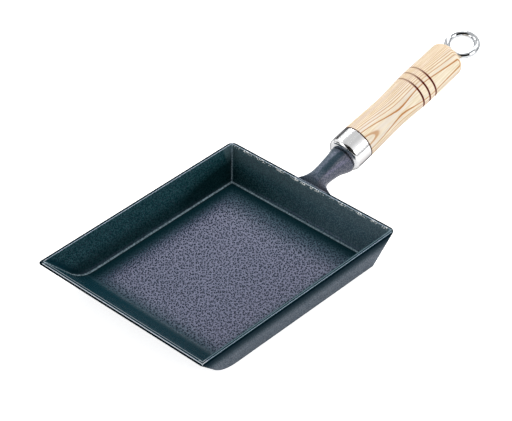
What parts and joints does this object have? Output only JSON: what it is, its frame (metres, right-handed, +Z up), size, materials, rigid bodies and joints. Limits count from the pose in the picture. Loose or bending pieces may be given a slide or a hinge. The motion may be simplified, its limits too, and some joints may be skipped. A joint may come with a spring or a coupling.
{
  "type": "rectangular omelette pan",
  "caption": "Rectangular cast iron rolled-omelette pan with sloped walls, a flared front, a steel-collared turned wooden handle and a screw-in hanging eye.",
  "frame": {"origin": "centre of the flat underside, under the middle of the tray's rim", "axes": "+X along the pan towards the handle, +Y to the left seen from the front wall towards the handle, +Z up"},
  "size_m": [0.3469, 0.1492, 0.0714],
  "materials": {
    "cast_iron": "fine orange-peel cast surface, dark seasoned coat",
    "polished_steel": "polished",
    "pale_wood": "smooth, unlacquered, with burned grooves",
    "plated_steel": "bright plated",
    "washer_steel": "plain"
  },
  "bodies": {
    "pan": {"pan_body": "cast_iron", "ferrule": "polished_steel", "handle_grip": "pale_wood"},
    "washer": {"eye_washer": "washer_steel"},
    "eye": {"eye_bolt": "plated_steel"}
  },
  "joints": [
    {"name": "washer_slide", "type": "slide", "parent": "pan", "child": "washer", "axis": [0.974, 0, 0.2267], "range_m": [0, 0.01281]},
    {"name": "eye_unscrew", "type": "hinge", "parent": "washer", "child": "eye", "pos_m": [0.24565, 0, 0.06263], "axis": [0.974, 0, 0.2267], "range_deg": [0, 5760]}
  ],
  "couplings": [
    {"joint": "washer_slide", "follows": "eye_unscrew", "m_per_rad": 0.00012732}
  ]
}
